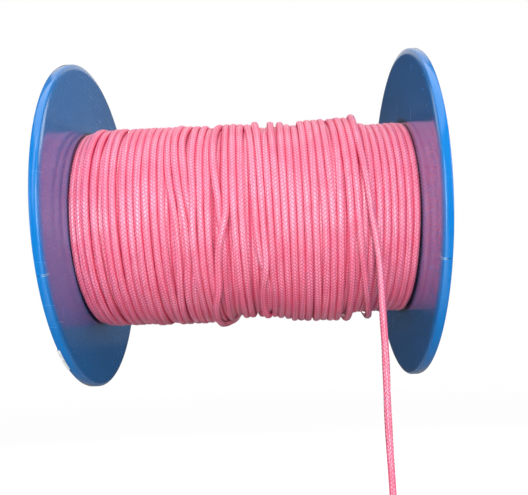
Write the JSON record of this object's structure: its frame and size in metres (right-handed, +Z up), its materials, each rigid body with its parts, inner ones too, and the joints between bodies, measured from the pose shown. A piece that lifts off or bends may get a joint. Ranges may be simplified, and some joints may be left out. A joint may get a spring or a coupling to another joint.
{
  "type": "fishing line spool",
  "caption": "Flanged store spool wound full of braided cord, with a spindle bore, cord slits in the rims and a loose cord end hanging off the front.",
  "frame": {"origin": "on the spool's axis, in the middle of the spindle bore, halfway between the flanges", "axes": "+X along the spool's axis towards the flange beside the loose end, +Z up, the front where the loose end hangs is at -Y"},
  "size_m": [0.1533, 0.15, 0.208],
  "materials": {
    "flange_plastic": "glossy moulded, lightly scratched",
    "barrel_plastic": "plain extruded",
    "tape_paper": "matte",
    "cord_braid": "round braid with a slight sheen",
    "label_paper": "plain, matte"
  },
  "bodies": {
    "root": {"left_flange": "flange_plastic", "right_flange": "flange_plastic", "barrel": "barrel_plastic", "start_tape": "tape_paper", "winding_core": "cord_braid", "cord_winding": "cord_braid", "cord_free_end": "cord_braid", "paper_label": "label_paper"}
  },
  "joints": []
}
